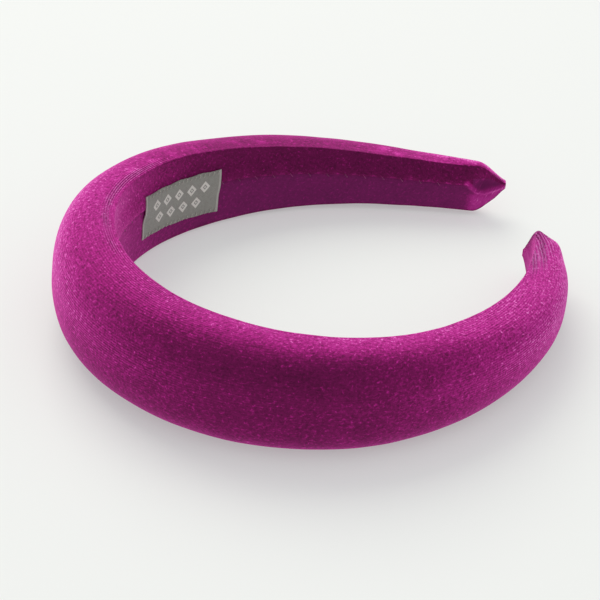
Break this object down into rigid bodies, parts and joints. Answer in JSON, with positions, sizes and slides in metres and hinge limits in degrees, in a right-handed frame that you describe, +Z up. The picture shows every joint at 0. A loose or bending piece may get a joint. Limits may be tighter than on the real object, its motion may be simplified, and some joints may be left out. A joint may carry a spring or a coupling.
{
  "type": "padded headband",
  "caption": "Open curved hair band with a crescent foam pad over a springy plastic core, a velvet cover with a seam along the inner face, and a small woven label.",
  "frame": {"origin": "on the surface the band lies on, under the middle of its bounding box", "axes": "+Z up, at right angles to that surface; +Y from the crown of the band towards the gap between its tips, the longest way; +X towards the right arm, so that the label is on the -X arm"},
  "size_m": [0.1478, 0.1684, 0.0365],
  "materials": {
    "core_plastic": "moulded",
    "foam": "open-cell foam",
    "velvet": "short dense pile with a strong sheen",
    "seam_thread": "polyester sewing thread",
    "label_satin": "woven satin",
    "label_thread": "fine polyester thread"
  },
  "bodies": {
    "crown": {"core_crown": "core_plastic", "foam_crown": "foam", "cover_crown": "velvet", "seam_thread_crown": "seam_thread"},
    "arm_left": {"core_arm_left": "core_plastic", "foam_arm_left": "foam", "cover_arm_left": "velvet", "tip_tuck_left": "velvet", "seam_thread_left": "seam_thread", "label": "label_satin", "label_stitches": "label_thread"},
    "arm_right": {"core_arm_right": "core_plastic", "foam_arm_right": "foam", "cover_arm_right": "velvet", "tip_tuck_right": "velvet", "seam_thread_right": "seam_thread"}
  },
  "joints": [
    {"name": "flex_left", "type": "hinge", "parent": "crown", "child": "arm_left", "pos_m": [-0.0604, -0.05169, 0.0175], "axis": [0, 0.0606, 0.9982], "range_deg": [0, 16], "stiffness_Nm_per_rad": 1},
    {"name": "flex_right", "type": "hinge", "parent": "crown", "child": "arm_right", "pos_m": [0.06067, -0.05169, 0.0175], "axis": [0, -0.0606, -0.9982], "range_deg": [0, 16], "stiffness_Nm_per_rad": 1}
  ]
}
